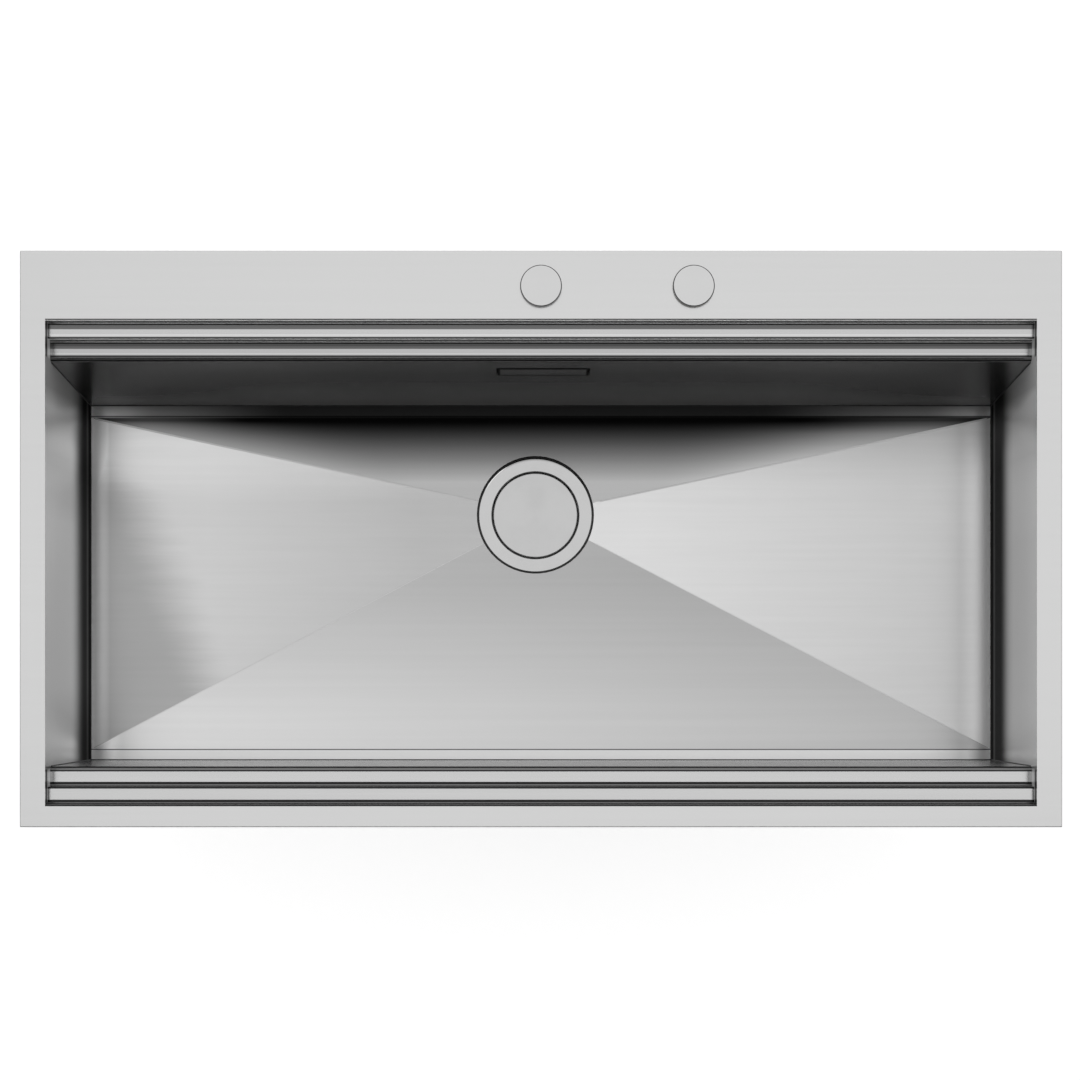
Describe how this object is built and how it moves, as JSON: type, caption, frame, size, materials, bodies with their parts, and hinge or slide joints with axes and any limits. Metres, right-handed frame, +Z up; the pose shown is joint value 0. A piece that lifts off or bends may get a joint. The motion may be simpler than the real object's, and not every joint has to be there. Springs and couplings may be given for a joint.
{
  "type": "inset kitchen sink",
  "caption": "Inset brushed-steel sink with a deep straight-sided bowl, stepped ledges, a floor folded to a round waste, an overflow, a tap-hole cap and a pop-up button.",
  "frame": {"origin": "centre of the rim, on the plane of the worktop that the rim rests on", "axes": "+X to the right along the long side, +Y to the back ledge with the two discs, +Z up out of the bowl"},
  "size_m": [0.94, 0.52, 0.351],
  "materials": {
    "rim_steel": "satin, finely brushed along the rim",
    "bowl_steel": "satin, finely brushed along the walls and ledges",
    "floor_steel": "satin, brushed from left to right",
    "disc_steel": "turned and brushed, bevelled edge",
    "waste_steel": "satin with a polished edge",
    "inner_steel": "plain pressed steel",
    "zinc_steel": "zinc plated",
    "brass": "machined",
    "black_plastic": "moulded, fine texture",
    "grey_plastic": "moulded",
    "cable_plastic": "smooth sleeve",
    "seal_rubber": "matt",
    "gasket_foam": "closed-cell foam",
    "pad_rubber": "matt, lightly rolled texture"
  },
  "bodies": {
    "sink": {"deck_rim": "rim_steel", "back_panel": "bowl_steel", "front_panel": "bowl_steel", "left_panel": "bowl_steel", "right_panel": "bowl_steel", "floor_panel": "floor_steel", "rim_gasket": "gasket_foam", "clip_brackets": "zinc_steel", "worktop_clips": "zinc_steel", "clip_screws": "zinc_steel", "deadening_pads": "pad_rubber", "waste_flange": "waste_steel", "flange_seal": "seal_rubber", "lower_gasket": "seal_rubber", "ring_nut": "black_plastic", "waste_body": "black_plastic", "body_seal": "seal_rubber", "pin_guide": "black_plastic", "shaft_seal": "seal_rubber", "shaft_gland": "grey_plastic", "cable_bracket": "zinc_steel", "cable_ferrules": "brass", "cable_sheath": "cable_plastic", "control_sleeve": "brass", "control_seal": "seal_rubber", "control_washer": "inner_steel", "control_nut": "brass", "control_housing": "black_plastic", "tap_hole_cap": "disc_steel", "cap_seal": "seal_rubber", "cap_stud": "inner_steel", "cap_bridge": "zinc_steel", "cap_wing_nut": "brass", "overflow_plate": "bowl_steel", "overflow_gasket": "seal_rubber", "overflow_housing": "black_plastic", "overflow_hose": "grey_plastic", "hose_nuts": "black_plastic"},
    "plug": {"plug_cover": "waste_steel", "plug_stem": "inner_steel", "strainer_basket": "inner_steel", "plug_seal": "seal_rubber"},
    "lift_pin": {"lift_pin": "inner_steel"},
    "rocker_lever": {"lever_shaft": "inner_steel", "outer_crank": "black_plastic"},
    "control_wire": {"control_wire": "inner_steel"},
    "control_button": {"push_button": "disc_steel", "button_stem": "inner_steel", "wire_head": "inner_steel", "button_spring": "inner_steel"}
  },
  "joints": [
    {"name": "pin_lift", "type": "slide", "parent": "sink", "child": "lift_pin", "axis": [0, 0, 1], "range_m": [0, 0.0116]},
    {"name": "lever_turn", "type": "hinge", "parent": "sink", "child": "rocker_lever", "pos_m": [0, 0.0622, -0.29], "axis": [-1, 0, 0], "range_deg": [0, 28]},
    {"name": "wire_pull", "type": "slide", "parent": "sink", "child": "control_wire", "axis": [0, 1, 0], "range_m": [0, 0.006]},
    {"name": "button_rise", "type": "slide", "parent": "sink", "child": "control_button", "axis": [0, 0, 1], "range_m": [0, 0.006], "deforming": ["button_spring"]},
    {"name": "plug_lift_out", "type": "slide", "parent": "lift_pin", "child": "plug", "axis": [0, 0, 1], "range_m": [0, 0.08]}
  ],
  "couplings": [
    {"joint": "lever_turn", "follows": "pin_lift", "rad_per_m": 42.085},
    {"joint": "wire_pull", "follows": "pin_lift", "ratio": 0.51671},
    {"joint": "button_rise", "follows": "pin_lift", "ratio": 0.51671}
  ]
}
